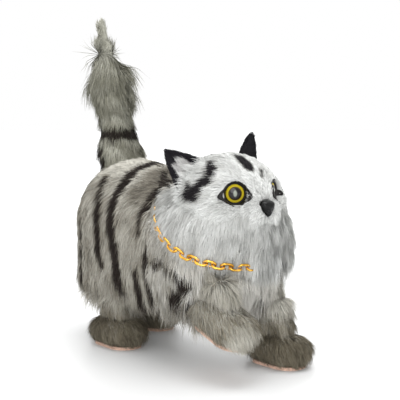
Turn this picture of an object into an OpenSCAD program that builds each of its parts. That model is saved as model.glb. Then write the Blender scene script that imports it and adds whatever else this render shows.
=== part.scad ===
// Wind-up walking cat in a fur coat, in millimetres.
// +X is forward, +Y is the cat's left and +Z is up. Axle stations are written as [x, z] pairs,
// and a y station is the distance from the cat's middle plane.

/* [Stance] */
// Height of the four leg pivots above the ground
hip_height = 46; // [44:1:58]
// Distance between the front and the rear leg pivots
hip_span = 60; // [58:1:74]
// Angle that each leg swings through, in degrees
leg_swing = 15; // [8:1:16]
// Front left foot, distance ahead of the crank
front_foot_x = 41; // [37:1:44]
// Rear right foot, distance behind the crank
rear_right_foot_x = 25; // [22:1:28]
// Rear left foot, distance behind the crank
rear_left_foot_x = 43; // [39:1:46]
// Raised paw, distance of its sole ahead of the crank
raised_foot_x = 42; // [40:1:44]
// Raised paw, height of its sole above the ground
raised_foot_z = 16.4; // [14:0.2:19]
// Raised paw, how far its toes hang down, in degrees
raised_pitch = 20; // [0:1:25]

/* [Legs] */
// Length of a foot
foot_length = 29; // [26:1:32]
// Width of a foot
foot_width = 19; // [16:0.5:21]
// Height of a foot
foot_height = 13.1; // [11:0.1:13.5]
// Thickness of the felt sole
sole_t = 1.2; // [0.8:0.1:1.6]
// Thickness of the moulded leg strut
strut_t = 5; // [4:0.5:6]
// Width of the moulded leg strut
strut_w = 8; // [6:0.5:9]
// Thickness of fur backing round the strut
sleeve_t = 0.35; // [0.2:0.05:0.5]
// Radius of the leg axles
axle_r = 1.5; // [1.2:0.1:1.9]
// Width of the slotted levers
lever_w = 5; // [4:0.5:5.5]
// Thickness of the slotted levers
lever_t = 0.8; // [0.6:0.1:1]

/* [Body] */
// Width of the fur coat at the shoulders
coat_width = 52; // [47:1:63]
// Length of the rump's half of the coat
rump_length = 64; // [60:1:70]
// Height of the back above the leg pivots
back_rise = 34; // [32:1:41]
// Width of the plastic body shell
shell_width = 25; // [25:0.5:30]
// Wall of the plastic shells
shell_wall = 1.2; // [1:0.1:1.5]
// Radius of the body shell at the chest
shell_front_r = 13; // [12:0.5:13.5]

/* [Head and tail] */
// Radius of the fur round the head
head_r = 22; // [21:0.5:26]
// Height of the fur round the head
head_height = 40; // [38:1:48]
// Radius of the plastic head shell
skull_r = 12.5; // [11:0.5:13]
// Radius of the neck peg
neck_r = 2.5; // [2:0.1:3]
// Angle that the head turns each way, in degrees
head_turn = 15; // [5:1:15]
// Radius of an eye
eye_r = 4; // [3.2:0.2:4.8]
// Distance of the eyes from the neck axis
eye_reach = 16.9; // [16:0.1:18.5]
// Height of an ear's tip above the middle of its root
ear_height = 15; // [12:0.5:18]
// How far the right ear is bent back and down
ear_fold = 6; // [0:0.5:7]
// Length of the fur tail
tail_length = 67; // [54:1:80]
// Width of the fur tail at its widest
tail_width = 16; // [12:1:20]
// Lean of the tail from upright, in degrees
tail_lean = 15.5; // [0:0.5:18]
// Radius of the wire in the tail
tail_wire_r = 0.8; // [0.6:0.1:1]

/* [Collar] */
// Number of links in the collar, an even number
link_count = 50; // [48:2:52]
// Outer length of a link
link_length = 5.4; // [5.2:0.1:5.8]
// Outer width of a link
link_width = 3.8; // [3.4:0.1:4]
// Diameter of the link wire
link_wire = 0.9; // [0.7:0.05:1]

/* [Clockwork] */
// Tooth module of the great and second wheels
drive_module = 0.6; // [0.5:0.02:0.72]
// Tooth module of the governor pair
fast_module = 0.5; // [0.42:0.02:0.6]
// Width of the mainspring
spring_w = 4; // [3:0.25:5]
// Thickness of the mainspring strip
spring_t = 0.35; // [0.2:0.05:0.45]
// Thickness of the frame plates
plate_t = 0.8; // [0.6:0.1:1]
// Thickness of the great wheel
great_t = 1.2; // [1:0.1:1.5]
// Thickness of the second and crank wheels
wheel_t = 1; // [0.8:0.1:1.2]
// Radius of the winding arbor
wind_r = 2; // [1.6:0.1:2.4]
// Radius of the pillars between the plates
pillar_r = 1.6; // [1.3:0.1:1.9]
// Radial clearance of a running shaft in its hole
running_gap = 0.04; // [0.02:0.01:0.08]
// Reach of the winding key beyond the coat
key_reach = 16; // [12:1:22]
// Width of the winding key across its wings
key_width = 26; // [20:1:30]

/* [Hidden] */
$fn = 48;

// Clearances between pieces
soft_gap = 0.3;
touch_gap = 0.05;
face_gap = 0.3;

// Stations across the clockwork, counted from the inner face of the right-hand plate
spring_u = 0.3;
great_u = spring_u + spring_w + 0.5;
ratchet_u = great_u + great_t + 0.3;
ratchet_t = 1;
second_u = ratchet_u + ratchet_t + 0.8;
pinion_over = 0.4;
plate_gap = second_u + wheel_t + pinion_over + 1.5;
crank_u = 2.1;
fly_u = crank_u + wheel_t + pinion_over + 1.2;
fly_end_u = plate_gap - 1.1;
plate_y = plate_gap / 2;

// Stations outward from the middle plane
plate_out_y = plate_y + plate_t;
disc_y = plate_out_y + face_gap;
disc_t = 1;
pin_y = disc_y + disc_t;
front_lever_y = pin_y + 1;
pin_end_y = front_lever_y - face_gap;
rear_lever_y = front_lever_y + lever_t + face_gap;
shell_y = shell_width / 2;
shell_in_y = shell_y - shell_wall;
flange_t = 0.4;
strut_y = shell_y + flange_t + face_gap;
strut_end_y = strut_y + strut_t;
foot_y = strut_y + strut_t / 2;
well_y = strut_end_y + sleeve_t + 0.65;

// Wheels: teeth and the distances between arbors
great_teeth = 40;
second_pinion_teeth = 10;
second_teeth = 32;
crank_pinion_teeth = 8;
crank_teeth = 30;
governor_teeth = 8;
addendum = 0.85;
dedendum = 1.25;
great_pitch_r = drive_module * great_teeth / 2;
second_pitch_r = drive_module * second_teeth / 2;
great_to_second = drive_module * (great_teeth + second_pinion_teeth) / 2;
second_to_crank = drive_module * (second_teeth + crank_pinion_teeth) / 2;
crank_to_governor = fast_module * (crank_teeth + governor_teeth) / 2;
governor_angle = 25;
great_angle = 157;

// Arbor places
crank_at = [0, hip_height];
great_at = crank_at + polar(great_pitch_r * 1.64, great_angle);
second_at = meet(great_at, great_to_second, crank_at, second_to_crank);
governor_at = crank_at + polar(crank_to_governor, governor_angle);
second_r = 1;
crank_arbor_r = 1;
governor_r = 0.8;
pillars = [great_at + polar(great_pitch_r + 2.9, 135),
    second_at + polar(second_pitch_r + 5.7, 193),
    [governor_at[0] + 3.4, hip_height - 9.5],
    [governor_at[0] - 3.6, hip_height + 11]];
plate_margin = 3;
spring_r = min(great_pitch_r - 1.4,
    norm(great_at - crank_at) - fast_module * (crank_teeth / 2 + addendum) - 0.8);
ratchet_teeth = 12;
ratchet_r = 5;

// Cranks, levers and legs
hip_x = hip_span / 2;
crank_r = hip_x * tan(leg_swing / 2);
crank_pin_r = 0.8;
disc_r = crank_r + crank_pin_r + 0.8;
slot_half = crank_r + 1;
slot_gap = 0.1;
foot_plate_t = 6.4;
foot_plate_half = 8;
ankle_up = 8.2;
sleeve_w = 12;
sleeve_share = 0.42;
// A leg is [side, pivot x, foot x, foot z, foot pitch]; side is 1 on the left and -1 on the right
front_left = [1, hip_x, front_foot_x, 0, 0];
front_right = [-1, hip_x, raised_foot_x, raised_foot_z, raised_pitch];
rear_left = [1, -hip_x, -rear_left_foot_x, 0, 0];
rear_right = [-1, -hip_x, -rear_right_foot_x, 0, 0];
legs = [front_left, front_right, rear_left, rear_right];

// Body shell
shell_rear = [-hip_x - 4, hip_height + 2];
shell_rear_r = drive_module * (great_teeth / 2 + addendum) + 11.5;
shell_front = [hip_x - 6, hip_height - 3];
boss_r = 2.4;
screw_r = 0.6;
screw_head_r = 1.8;
screw_head_t = 0.8;
bush_r = axle_r + 1.1;
key_bush_r = wind_r + 1.4;
flange_over = 1;

// Head, standing on the neck axis
neck_x = hip_x - 1;
skull_z = shell_front[1] + shell_front_r + skull_r + 0.5;
head_z = skull_z - 5;
neck_boss_top = shell_front[1] + shell_front_r + 0.2;
neck_boss_foot = neck_boss_top - 7.2;
neck_boss_r = neck_r + 2;
peg_lip_r = neck_r + 0.7;
peg_lip_t = 1.2;
eye_yaw = 34.2;
eye_dome = 2.4;
eye_stem_r = 1;
nose_z = head_z - 0.5;
nose_r = 1.2;
ear_inner = [-5, 9, head_height / 2 - 3.5];
ear_outer = [-6, 19.5, head_height / 2 - 16.5];
ear_tip = (ear_inner + ear_outer) / 2 + [-2, 4.8, ear_height];
ear_bend = ear_fold * [-1.15, 0.1, -0.9];
ear_half_t = 1.3;
head_fit_r = head_r + soft_gap + 0.2;
head_underside = hip_height + strut_w / 2 + 0.7;

// Coat
rump_r = rump_length / 2;
coat_half = coat_width / 2;
rump_at = [-hip_x - 2, 0, hip_height + 4];
haunch_at = [-hip_x - 4, 0, hip_height - 16];
chest_at = [hip_x - 6, 0, hip_height];
breast_at = [hip_x - 10, 0, hip_height - 12];
coat_floor = foot_height + 2.7;
coat_split_x = 8;

// Tail
tail_root = [-hip_x - 12.5, 0, hip_height + back_rise - 5];
tail_lift = 0.6;
// The tail's outline as shares of its half width and of its length
tail_outline = [[1.06, 0], [1, 0.3], [1.06, 0.6], [0.6, 0.78], [0.32, 0.84], [0.26, 0.98]];
tail_wire_down = 7;
tail_wire_up = tail_length - 4;

// Collar
collar_at = [hip_x - 5.25, 0, hip_height + 6.5];
collar_proud = 1.1;
collar_rx = 21.75 + collar_proud;
collar_ry = coat_half + collar_proud;
collar_slope = 13;
collar_bow = 2;
link_tilt = 45;
link_bend_r = (link_width - link_wire) / 2;
link_reach = link_bend_r * cos(link_tilt) + link_wire / 2;
tunnel_r = 2.7;
tunnel_rings = 48;
tunnel_sides = 8;

// Winding key
key_end_y = coat_half + key_reach;
key_bow_y = coat_half + 2;
key_sleeve_r = wind_r + 1.4;
key_bow_t = 1.4;

// The origin lies under the middle of the whole toy's outline
toe_front = max(front_foot_x + foot_length / 2,
    at_foot(front_right, foot_length / 2 - 1.1, foot_height / 2)[0]);
origin_x = (toe_front + rump_at[0] - rump_r) / 2;
origin_y = (key_end_y - collar_ry - link_reach) / 2;

function polar(r, a) = [r * cos(a), r * sin(a)];
// The point at distances rp and rq from p and q, on the lower side
function meet(p, rp, q, rq) =
    let (d = norm(q - p), a = (rp * rp - rq * rq + d * d) / (2 * d), u = (q - p) / d)
    p + a * u + sqrt(rp * rp - a * a) * [u[1], -u[0]];
function bearing(p, q) = atan2(q[1] - p[1], q[0] - p[0]);
// A point turned about a pivot by an angle about the +Y axis
function turned(p, pivot, a) =
    let (d = p - pivot)
    pivot + [d[0] * cos(a) + d[1] * sin(a), -d[0] * sin(a) + d[1] * cos(a)];
function leg_hip(leg) = [leg[1], hip_height];
function at_foot(leg, dx, dz) = turned([leg[2] + dx, leg[3] + dz], [leg[2], leg[3]], leg[4]);
function swing_of(leg) = leg[0] * sign(leg[1]) * leg_swing;
// The collar's path, once round the neck
function collar_point(a) = collar_at
    + [collar_rx * cos(a), collar_ry * sin(a), collar_bow * cos(2 * a) - collar_slope * cos(a)];
function collar_way(a) =
    let (d = collar_point(a + 1) - collar_point(a - 1)) d / norm(d);

// Places a whole piece in the row's frame
module in_row() translate([-origin_x, -origin_y, 0]) children();
// Builds a left-hand piece on the left or the right
module on_side(side) {
    if (side > 0) children();
    else mirror([0, 1, 0]) children();
}
// Thickens an [x, z] outline from y0 towards +Y
module slab(y0, t) translate([0, y0 + t, 0]) rotate([90, 0, 0]) linear_extrude(t) children();
// A round bar along Y at an [x, z] place
module rod(at, y0, y1, r) translate([at[0], y1, at[1]]) rotate([90, 0, 0]) cylinder(h = y1 - y0, r = r);
// A round-ended bar in the [x, z] plane
module bar(p, q, w) {
    translate(p) rotate(bearing(p, q)) translate([0, -w / 2]) square([norm(q - p), w]);
    translate(p) circle(d = w);
    translate(q) circle(d = w);
}
module blob(at, r) translate(at) scale(r) sphere(r = 1, $fn = 32);
module gear(teeth, m, turn) {
    tip = m * (teeth / 2 + addendum);
    root = m * (teeth / 2 - dedendum);
    flank = [[root, -0.28], [tip, -0.11], [tip, 0.11], [root, 0.28]];
    polygon([for (i = [0 : teeth - 1]) for (f = flank) polar(f[0], turn + (i + f[1]) * 360 / teeth)]);
}
module at_arbor(at, u, t) slab(u - plate_y, t) translate(at) children();

// Clockwork frame
module plate_outline() hull() for (p = pillars) translate(p) circle(r = plate_margin, $fn = 32);
module frame_plate() {
    difference() {
        slab(plate_y, plate_t) plate_outline();
        for (p = pillars) rod(p, plate_y - 1, plate_out_y + 1, pillar_r - 0.6);
        rod(great_at, plate_y - 1, plate_out_y + 1, wind_r + running_gap);
        rod(second_at, plate_y - 1, plate_out_y + 1, second_r + running_gap);
        rod(crank_at, plate_y - 1, plate_out_y + 1, crank_arbor_r + running_gap);
        rod(governor_at, plate_y - 1, plate_out_y + 1, governor_r + running_gap);
    }
}
module frame_plate_left() in_row() color("goldenrod") frame_plate();
module frame_plate_right() in_row() color("goldenrod") on_side(-1) frame_plate();
module frame_pillars() in_row() color("silver") for (p = pillars) difference() {
    union() {
        rod(p, -plate_y, plate_y, pillar_r);
        rod(p, -plate_out_y, plate_out_y, pillar_r - 0.6);
    }
    for (side = [-1, 1]) on_side(side) rod(p, plate_y - 2.5, plate_out_y + 1, screw_r);
}

// Mainspring: a flat spiral with its outer end looped round a pillar
module mainspring() in_row() color("dimgray") {
    turns = 6;
    steps = 20 * turns;
    eye_in = pillar_r + 0.1;
    eye_out = eye_in + 0.6;
    inner = wind_r + 0.4;
    reach = norm(pillars[0] - great_at);
    side = bearing(great_at, pillars[0]);
    pitch = (spring_r - inner) / steps;
    at_arbor([0, 0], spring_u, spring_w) difference() {
        union() {
            translate(great_at) polygon(concat(
                [for (i = [0 : steps]) polar(inner + i * pitch, side + i * 18)],
                [for (i = [steps : -1 : 0]) polar(inner + spring_t + i * pitch, side + i * 18)]));
            bar(great_at + polar(spring_r + spring_t / 2, side),
                great_at + polar(reach - eye_in, side), 0.5);
            translate(pillars[0]) circle(r = eye_out);
        }
        translate(pillars[0]) circle(r = eye_in);
    }
}

// Body shell: two plastic halves that clamp the clockwork
module shell_outline(inset) hull() {
    translate(shell_rear) circle(r = shell_rear_r - inset, $fn = 48);
    translate(shell_front) circle(r = shell_front_r - inset, $fn = 48);
}
module tail_axis() translate(tail_root) rotate([0, -tail_lean, 0]) children();
module body_shell(side) on_side(side) difference() {
    union() {
        difference() {
            slab(0, shell_y) shell_outline(0);
            slab(-1, shell_in_y + 1) shell_outline(shell_wall);
        }
        for (p = pillars) rod(p, plate_out_y + touch_gap, shell_in_y, boss_r);
        intersection() {
            translate([neck_x, 0, neck_boss_foot])
                cylinder(h = neck_boss_top - neck_boss_foot, r = neck_boss_r);
            cube([2 * hip_x, shell_y, 2 * hip_height]);
        }
    }
    translate([neck_x, 0, neck_boss_foot - 1]) cylinder(h = 2 * skull_r, r = neck_r + running_gap);
    for (p = pillars) {
        rod(p, plate_out_y - 1, shell_y + 1, screw_r + 0.1);
        rod(p, shell_y - screw_head_t, shell_y + 1, screw_head_r + 0.1);
    }
    for (x = [-hip_x, hip_x]) rod([x, hip_height], shell_in_y - 1, shell_y + 1, bush_r);
    if (side > 0) rod(great_at, shell_in_y - 1, shell_y + 1, key_bush_r);
    tail_axis() translate([0, 0, -tail_wire_down]) cylinder(h = tail_wire_down, r = tail_wire_r);
}
module body_shell_left() in_row() color("burlywood") body_shell(1);
module body_shell_right() in_row() color("burlywood") body_shell(-1);
module shell_screws() in_row() color("silver") for (side = [-1, 1]) on_side(side) for (p = pillars) {
    rod(p, plate_y - 2.2, shell_y - screw_head_t, screw_r);
    rod(p, shell_y - screw_head_t, shell_y, screw_head_r);
}
module bush(at, r, bore) difference() {
    union() {
        rod(at, shell_in_y, shell_y, r);
        rod(at, shell_y, shell_y + flange_t, r + flange_over);
    }
    rod(at, shell_in_y - 1, shell_y + flange_t + 1, bore);
}
module hip_bushes() in_row() color("goldenrod")
    for (leg = legs) on_side(leg[0]) bush(leg_hip(leg), bush_r, axle_r + running_gap);
module key_bush() in_row() color("goldenrod") bush(great_at, key_bush_r, wind_r + running_gap);

// Fur coat: plain closed solids that leave room for the shell, the legs and the head
module coat_outline() intersection() {
    hull() {
        blob(rump_at, [rump_r, coat_half - 1, back_rise - 4]);
        blob(haunch_at, [rump_r - 3, coat_half - 1, 16]);
        blob(chest_at, [24, coat_half, 26]);
        blob(breast_at, [20, coat_half - 4, 16]);
    }
    translate([-200, -200, coat_floor]) cube([400, 400, 400]);
}
module leg_well(leg) {
    hip = leg_hip(leg);
    far = turned([leg[2], leg[3]], hip, swing_of(leg));
    low = min(leg[2], far[0]) - sleeve_w / 2 - 3;
    high = max(leg[2], far[0]) + sleeve_w / 2 + 3;
    raised = leg[3] > 0;
    on_side(leg[0]) slab(shell_y - 1, well_y - shell_y + 1) polygon(raised
        ? [hip + [-8, 7], hip + [8, 7], hip + [50, -2], [hip[0] + 50, -1], [hip[0] - 2, -1]]
        : [hip + [-7.5, 7], hip + [7.5, 7], [high, -1], [low, -1]]);
}
module head_outline(grow) {
    steps = 24;
    rotate_extrude() polygon([for (i = [0 : steps])
        [(head_r + grow) * sin(i * 180 / steps), -(head_height / 2 + grow) * cos(i * 180 / steps)]]);
}
module head_room() translate([neck_x, 0, head_z]) {
    head_outline(soft_gap + 0.2);
    cylinder(h = 3 * head_height, r = head_fit_r);
}
module collar_tunnel() {
    rings = [for (i = [0 : tunnel_rings - 1])
        let (a = i * 360 / tunnel_rings, way = collar_way(a), flat = cross(way, [0, 0, 1]),
             out = flat / norm(flat), up = cross(out, way))
        [for (k = [0 : tunnel_sides - 1]) let (b = k * 360 / tunnel_sides)
            collar_point(a) + tunnel_r * (cos(b) * out + sin(b) * up)]];
    polyhedron([for (ring = rings) each ring],
        [for (i = [0 : tunnel_rings - 1]) for (k = [0 : tunnel_sides - 1])
            let (j = (i + 1) % tunnel_rings, n = (k + 1) % tunnel_sides)
            [i * tunnel_sides + k, i * tunnel_sides + n, j * tunnel_sides + n, j * tunnel_sides + k]]);
}
module coat_cuts() {
    slab(-shell_y - touch_gap, shell_width + 2 * touch_gap) shell_outline(-touch_gap);
    for (leg = legs) leg_well(leg);
    head_room();
    collar_tunnel();
}
module body_pelt() in_row() color("gray") difference() {
    coat_outline();
    translate([coat_split_x, -200, -200]) cube(400);
    coat_cuts();
    rod(great_at, shell_y - 1, coat_half + 1, key_bush_r + flange_over + 0.6);
    tail_axis() {
        translate([0, 0, -tail_wire_down]) cylinder(h = 2 * tail_wire_down, r = tail_wire_r + 0.2);
        translate([0, 0, tail_lift - soft_gap])
            cylinder(h = tail_length, r = tail_outline[0][0] * tail_width / 2 + soft_gap);
    }
}
module chest_pelt() in_row() color("whitesmoke") difference() {
    coat_outline();
    translate([coat_split_x + soft_gap - 400, -200, -200]) cube(400);
    coat_cuts();
    translate([neck_x, 0, neck_boss_foot - 1]) cylinder(h = 3 * skull_r, r = neck_boss_r + touch_gap);
    for (share = [0, 0.5, 1]) on_side(-1) swung(front_right, share) foot_blob(front_right, 0.6);
}

// Tail: a wire with a fur sleeve
module tail_wire() in_row() color("silver") tail_axis() {
    translate([0, 0, -tail_wire_down]) cylinder(h = tail_wire_down + tail_wire_up, r = tail_wire_r);
    translate([0, 0, -tail_wire_down - 1.2]) cylinder(h = 1.2, r = tail_wire_r + 1);
}
module tail_pelt() in_row() color("gray") tail_axis() difference() {
    rotate_extrude() polygon(concat([[0, tail_lift]],
        [for (p = tail_outline) [p[0] * tail_width / 2, tail_lift + p[1] * (tail_length - tail_lift)]],
        [[0, tail_length]]));
    cylinder(h = tail_wire_up + 0.2, r = tail_wire_r + touch_gap);
}

// Collar: interlocked links, each turned a quarter against the next
module link() {
    run = (link_length - link_width) / 2;
    for (end = [0, 180]) rotate([0, 0, end]) {
        translate([run, 0, 0]) rotate([0, 0, -90]) rotate_extrude(angle = 180)
            translate([link_bend_r, 0]) circle(d = link_wire, $fn = 16);
        translate([-run, link_bend_r, 0]) rotate([0, 90, 0]) cylinder(h = 2 * run, d = link_wire, $fn = 16);
    }
}
module collar_chain() in_row() color("gold") for (i = [0 : link_count - 1]) {
    a = (i + 0.5) * 360 / link_count;
    way = collar_way(a);
    translate(collar_point(a)) rotate([0, -asin(way[2]), atan2(way[1], way[0])])
        rotate([i % 2 == 0 ? link_tilt : -link_tilt, 0, 0]) link();
}

// Winding and driving train
module great_wheel() in_row() color("goldenrod") difference() {
    at_arbor(great_at, great_u, great_t)
        gear(great_teeth, drive_module, bearing(great_at, second_at));
    rod(great_at, -plate_y, plate_y, wind_r + running_gap);
    rod(click_at, -plate_y, plate_y, click_r);
}
click_r = 0.6;
click_turn = 62;
click_reach = 8.4;
click_at = great_at + polar(click_reach, click_turn);
click_lift = 8;
click_t = ratchet_t - 0.2;
module click_rivet() in_row() color("silver") {
    rod(click_at, great_u - plate_y, ratchet_u + ratchet_t - plate_y + 0.1, click_r);
    head_y = ratchet_u + ratchet_t - plate_y + 0.1;
    rod(click_at, head_y, head_y + 0.4, click_r + 0.5);
}
// The ratchet's teeth have a steep face that the click's nose meets
ratchet_depth = 0.9;
click_nose = polar(ratchet_r - ratchet_depth + 0.25, click_turn + 50);
module click() in_row() color("silver") difference() {
    at_arbor(great_at, ratchet_u + 0.1, click_t) {
        bar(polar(click_reach, click_turn), polar(ratchet_r + 1.7, click_turn + 40), 1.5);
        polygon([click_nose, polar(ratchet_r + 1.3, click_turn + 47),
            polar(ratchet_r + 2.3, click_turn + 38), polar(ratchet_r + 0.6, click_turn + 36)]);
        translate(polar(click_reach, click_turn)) circle(r = click_r + 0.9);
    }
    rod(click_at, -plate_y, plate_y, click_r + running_gap);
}
module click_spring() in_row() color("dimgray") at_arbor(great_at, ratchet_u + 0.1, click_t) {
    bar(polar(click_reach + 2, click_turn + 42), polar(click_reach + 2.2, click_turn + 95), 0.4);
    translate(polar(click_reach + 2.2, click_turn + 95)) circle(r = 0.9);
}
module winding_arbor() in_row() color("silver") {
    rod(great_at, -plate_out_y - 0.3, key_end_y - key_reach / 2, wind_r);
}
module ratchet_wheel() in_row() color("silver") difference() {
    at_arbor(great_at, ratchet_u, ratchet_t) polygon([for (i = [0 : ratchet_teeth - 1])
        for (step = [[ratchet_r - ratchet_depth, 0], [ratchet_r, 0.02]])
            polar(step[0], click_turn + 51 + (i - step[1]) * 360 / ratchet_teeth)]);
    rod(great_at, -plate_y, plate_y, wind_r);
}
module winding_key() in_row() color("silver") {
    difference() {
        union() {
            rod(great_at, shell_y + flange_t + face_gap, key_bow_y + 5, key_sleeve_r);
            translate([great_at[0], key_bow_y, great_at[1]]) rotate([90, 0, 90])
                translate([0, 0, -key_bow_t / 2]) linear_extrude(key_bow_t) {
                    bow_r = (key_end_y - key_bow_y) / 2;
                    for (side = [-1, 1])
                        translate([bow_r, side * (key_width / 2 - bow_r)]) circle(r = bow_r);
                    translate([0, -key_sleeve_r]) square([2 * bow_r - 1, 2 * key_sleeve_r]);
                }
        }
        rod(great_at, 0, key_end_y - key_reach / 2, wind_r);
    }
}
module second_arbor() in_row() color("silver") {
    rod(second_at, -plate_out_y, plate_out_y, second_r);
    at_arbor(second_at, great_u - pinion_over, great_t + 2 * pinion_over)
        gear(second_pinion_teeth, drive_module,
            bearing(second_at, great_at) + 180 / second_pinion_teeth);
}
module second_wheel() in_row() color("goldenrod") difference() {
    at_arbor(second_at, second_u, wheel_t) gear(second_teeth, drive_module, bearing(second_at, crank_at));
    rod(second_at, -plate_y, plate_y, second_r);
}
module crank_arbor() in_row() color("silver") {
    rod(crank_at, -disc_y - disc_t, disc_y + disc_t, crank_arbor_r);
    at_arbor(crank_at, second_u - pinion_over, wheel_t + 2 * pinion_over)
        gear(crank_pinion_teeth, drive_module,
            bearing(crank_at, second_at) + 180 / crank_pinion_teeth);
}
module crank_wheel() in_row() color("goldenrod") difference() {
    at_arbor(crank_at, crank_u, wheel_t) gear(crank_teeth, fast_module, governor_angle);
    rod(crank_at, -plate_y, plate_y, crank_arbor_r);
}
module crank_disc(drop) {
    difference() {
        rod(crank_at, disc_y, disc_y + disc_t, disc_r);
        rod(crank_at, disc_y - 1, disc_y + disc_t + 1, crank_arbor_r);
    }
    rod(crank_at + [0, drop * crank_r], pin_y - 0.1, pin_end_y, crank_pin_r);
}
module crank_disc_left() in_row() color("silver") crank_disc(-1);
module crank_disc_right() in_row() color("silver") on_side(-1) crank_disc(1);
module governor_arbor() in_row() color("silver") {
    rod(governor_at, -plate_out_y, plate_out_y, governor_r);
    at_arbor(governor_at, crank_u - pinion_over, wheel_t + 2 * pinion_over)
        gear(governor_teeth, fast_module, governor_angle + 180 + 180 / governor_teeth);
}
fly_r = 5.4;
module governor_fly() in_row() color("silver") difference() {
    at_arbor(governor_at, fly_u, fly_end_u - fly_u) {
        circle(r = governor_r + 0.8);
        square([2 * fly_r, 0.5], center = true);
    }
    rod(governor_at, -plate_y, plate_y, governor_r);
}

// Legs
module swung(leg, share) {
    hip = leg_hip(leg);
    translate([hip[0], 0, hip[1]]) rotate([0, share * swing_of(leg), 0])
        translate([-hip[0], 0, -hip[1]]) children();
}
module in_foot(leg) translate([leg[2], foot_y, leg[3]]) rotate([0, leg[4], 0]) children();
module foot_blob(leg, grow) {
    in_foot(leg) hull() for (end = [-1, 1])
        blob([end * (foot_length - foot_width) / 2, 0, foot_height / 2],
            [foot_width / 2 + grow, foot_width / 2 + grow, foot_height / 2 + grow]);
}
module strut_outline(leg) {
    hip = leg_hip(leg);
    foot = at_foot(leg, 0, sole_t + foot_plate_t / 2);
    translate(hip) circle(d = strut_w);
    translate(hip) rotate(bearing(hip, foot))
        translate([0, -strut_w / 2]) square([norm(foot - hip), strut_w]);
    polygon([for (corner = [[-1, 0], [1, 0], [1, 1], [-1, 1]])
        at_foot(leg, corner[0] * foot_plate_half, sole_t + corner[1] * foot_plate_t)]);
}
module leg_strut(leg) on_side(leg[0]) difference() {
    slab(strut_y, strut_t) strut_outline(leg);
    rod(leg_hip(leg), strut_y - 1, strut_end_y + 1, axle_r);
}
module leg_pelt(leg) on_side(leg[0]) difference() {
    ankle = at_foot(leg, 0, ankle_up);
    union() {
        foot_blob(leg, 0);
        slab(strut_y - sleeve_t, strut_t + 2 * sleeve_t)
            translate(ankle) rotate(bearing(ankle, leg_hip(leg))) translate([0, -sleeve_w / 2])
                square([sleeve_share * norm(leg_hip(leg) - ankle), sleeve_w]);
    }
    in_foot(leg) translate([-foot_length, -foot_width, sole_t - foot_length])
        cube([2 * foot_length, 2 * foot_width, foot_length]);
    slab(strut_y - touch_gap, strut_t + 2 * touch_gap) strut_outline(leg);
}
module leg_sole(leg) on_side(leg[0]) in_foot(leg) linear_extrude(sole_t)
    bar([-(foot_length - foot_width) / 2, 0], [(foot_length - foot_width) / 2, 0], foot_width - 5);
module leg_axle(leg) on_side(leg[0])
    rod(leg_hip(leg), (leg[1] > 0 ? front_lever_y : rear_lever_y) - 0.2, strut_end_y, axle_r);
module leg_lever(leg) {
    hip = leg_hip(leg);
    pin = crank_at + [0, -leg[0] * crank_r];
    run = norm(pin - hip);
    slot_r = crank_pin_r + slot_gap;
    on_side(leg[0]) slab(leg[1] > 0 ? front_lever_y : rear_lever_y, lever_t)
        translate(hip) rotate(bearing(hip, pin)) difference() {
            union() {
                circle(r = axle_r + 1.9);
                bar([0, 0], [run + slot_half, 0], lever_w);
            }
            circle(r = axle_r);
            bar([run - slot_half, 0], [run + slot_half, 0], 2 * slot_r);
        }
}
module leg_front_left_strut() in_row() color("burlywood") leg_strut(front_left);
module leg_front_left_pelt() in_row() color("tan") leg_pelt(front_left);
module leg_front_left_sole() in_row() color("salmon") leg_sole(front_left);
module leg_front_left_axle() in_row() color("silver") leg_axle(front_left);
module leg_front_left_lever() in_row() color("silver") leg_lever(front_left);
module leg_front_right_strut() in_row() color("burlywood") leg_strut(front_right);
module leg_front_right_pelt() in_row() color("tan") leg_pelt(front_right);
module leg_front_right_sole() in_row() color("salmon") leg_sole(front_right);
module leg_front_right_axle() in_row() color("silver") leg_axle(front_right);
module leg_front_right_lever() in_row() color("silver") leg_lever(front_right);
module leg_rear_left_strut() in_row() color("burlywood") leg_strut(rear_left);
module leg_rear_left_pelt() in_row() color("tan") leg_pelt(rear_left);
module leg_rear_left_sole() in_row() color("salmon") leg_sole(rear_left);
module leg_rear_left_axle() in_row() color("silver") leg_axle(rear_left);
module leg_rear_left_lever() in_row() color("silver") leg_lever(rear_left);
module leg_rear_right_strut() in_row() color("burlywood") leg_strut(rear_right);
module leg_rear_right_pelt() in_row() color("tan") leg_pelt(rear_right);
module leg_rear_right_sole() in_row() color("salmon") leg_sole(rear_right);
module leg_rear_right_axle() in_row() color("silver") leg_axle(rear_right);
module leg_rear_right_lever() in_row() color("silver") leg_lever(rear_right);

// Head
module at_skull() translate([neck_x, 0, skull_z]) children();
module at_eye(side) at_skull() rotate([0, 90, side * eye_yaw]) children();
module head_shell() in_row() color("burlywood") difference() {
    union() {
        at_skull() sphere(r = skull_r);
        translate([neck_x, 0, neck_boss_foot - peg_lip_t]) cylinder(h = 2 * peg_lip_t + 10, r = neck_r);
        translate([neck_x, 0, neck_boss_foot - face_gap - peg_lip_t])
            cylinder(h = peg_lip_t, r = peg_lip_r);
    }
    at_skull() sphere(r = skull_r - shell_wall);
    for (side = [-1, 1]) at_eye(side) cylinder(h = 2 * skull_r, r = eye_stem_r + touch_gap);
}
module ear_solid(side, grow) on_side(side) translate([neck_x, 0, head_z]) hull()
    for (corner = [ear_inner, ear_outer, side > 0 ? ear_tip : ear_tip + ear_bend])
        translate(corner) sphere(r = ear_half_t + grow, $fn = 24);
module ear_left() in_row() color("dimgray") ear_solid(1, 0);
module ear_right() in_row() color("dimgray") ear_solid(-1, 0);
module nose_solid(grow) translate([neck_x + head_r - 1.2, 0, nose_z]) {
    hull() {
        for (side = [-1, 1]) translate([0, side * 2, 1.3]) sphere(r = nose_r + grow, $fn = 24);
        translate([0.2, 0, -1.5]) sphere(r = nose_r + grow, $fn = 24);
    }
    rotate([0, -90, 0]) cylinder(h = 6, r = 0.9 + grow);
}
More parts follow.
